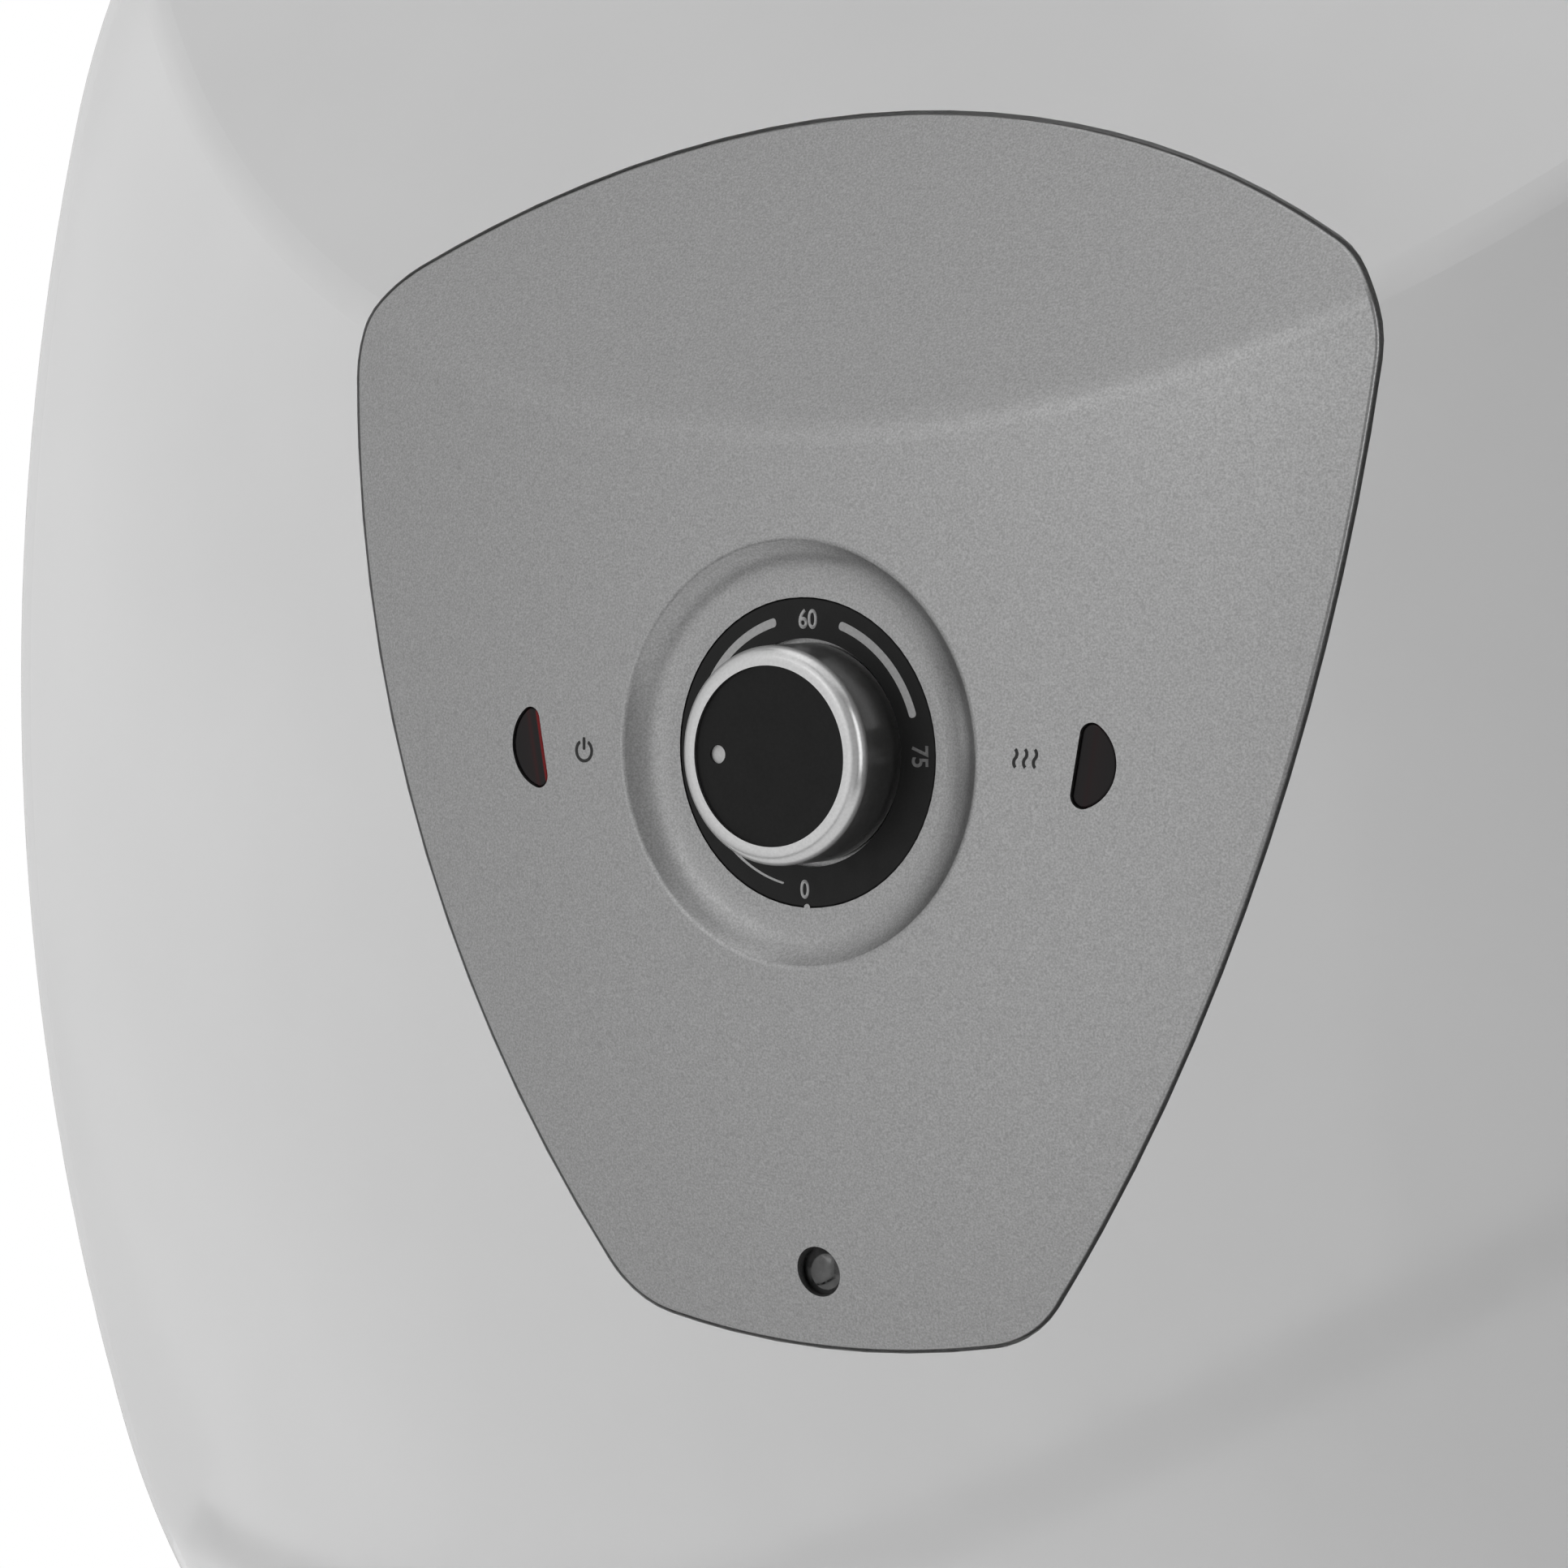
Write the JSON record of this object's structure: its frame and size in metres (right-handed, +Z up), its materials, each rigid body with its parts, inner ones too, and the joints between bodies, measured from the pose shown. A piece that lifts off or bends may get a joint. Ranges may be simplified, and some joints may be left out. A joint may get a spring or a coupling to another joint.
{
  "type": "tank water heater",
  "caption": "Wall-hung electric storage water heater: domed casing, turning knob in a shield-shaped panel, indicator lamps, tank, element and wall bracket.",
  "frame": {"origin": "middle of the two wall screws, on the wall", "axes": "+Z up, +Y into the wall, the front looks along -Y, +X to the right seen from the front"},
  "size_m": [0.447, 0.4106, 0.473],
  "materials": {
    "casing_white": "glossy white ABS",
    "panel_silver": "silver-grey metallic lacquer on ABS",
    "dial_black": "matt black, printed light-grey scale",
    "knob_satin": "satin silver lacquer",
    "knob_black": "black, slightly glossy",
    "pointer_white": "white paint",
    "lens_red": "dark red translucent plastic",
    "screw_black": "dark-plated steel, glossy",
    "pad_rubber": "soft black rubber",
    "spring_steel": "spring steel",
    "holder_nylon": "natural nylon",
    "neon_glass": "clear glass, orange tint",
    "lead_pvc": "PVC insulation",
    "housing_resin": "moulded resin",
    "zinc_steel": "zinc-plated steel",
    "tab_brass": "bare brass",
    "stainless": "stainless steel",
    "reset_red": "red plastic",
    "copper_nickel": "nickel-plated copper sheath",
    "gasket_rubber": "EPDM rubber",
    "pocket_brass": "brazed brass",
    "anode_grey": "cast magnesium",
    "tank_enamel": "vitreous enamel on steel",
    "collar_blue": "blue plastic",
    "collar_red": "red plastic",
    "gland_grey": "grey nylon",
    "foam_cream": "rigid polyurethane foam"
  },
  "bodies": {
    "casing": {"front_shell": "casing_white", "rear_shell": "casing_white", "wall_pads": "pad_rubber", "control_panel": "panel_silver", "panel_screw": "screw_black", "dial_ring": "dial_black", "lamp_lens_right": "lens_red", "lamp_lens_left": "lens_red", "lamp_holders": "holder_nylon", "neon_lamps": "neon_glass", "lamp_leads": "lead_pvc", "thermostat_housing": "housing_resin", "thermostat_tabs": "tab_brass", "control_rod": "stainless", "limiter_rod": "stainless", "reset_spring": "spring_steel", "element_leads": "lead_pvc", "element_pins": "tab_brass", "heating_element": "copper_nickel", "heater_flange": "zinc_steel", "flange_gasket": "gasket_rubber", "flange_studs": "zinc_steel", "flange_nuts": "zinc_steel", "earth_nut": "tab_brass", "sensor_pockets": "pocket_brass", "anode_rod": "anode_grey", "anode_stud": "zinc_steel", "anode_nut": "zinc_steel", "tank_front_head": "tank_enamel", "tank_rear_head": "tank_enamel", "girth_weld": "tank_enamel", "flange_neck": "tank_enamel", "cold_nipple": "zinc_steel", "hot_nipple": "zinc_steel", "cold_collar": "collar_blue", "hot_collar": "collar_red", "cold_diffuser": "holder_nylon", "hot_riser": "stainless", "cable_gland": "gland_grey", "gland_nut": "gland_grey", "tank_bracket": "zinc_steel", "foam_front": "foam_cream", "foam_rear": "foam_cream"},
    "knob": {"knob_body": "knob_satin", "knob_disc": "knob_black", "knob_pointer": "pointer_white", "knob_clip": "spring_steel", "thermostat_spindle": "zinc_steel"},
    "reset": {"reset_button": "reset_red"}
  },
  "joints": [
    {"name": "knob_turn", "type": "hinge", "parent": "casing", "child": "knob", "pos_m": [0, -0.3996, -0.099], "axis": [0, 1, 0], "range_deg": [-90, 180]},
    {"name": "reset_press", "type": "slide", "parent": "casing", "child": "reset", "axis": [0, 1, 0], "range_m": [0, 0.0015], "stiffness_N_per_m": 2000, "springref_m": -0.0015, "deforming": ["reset_spring"]}
  ]
}
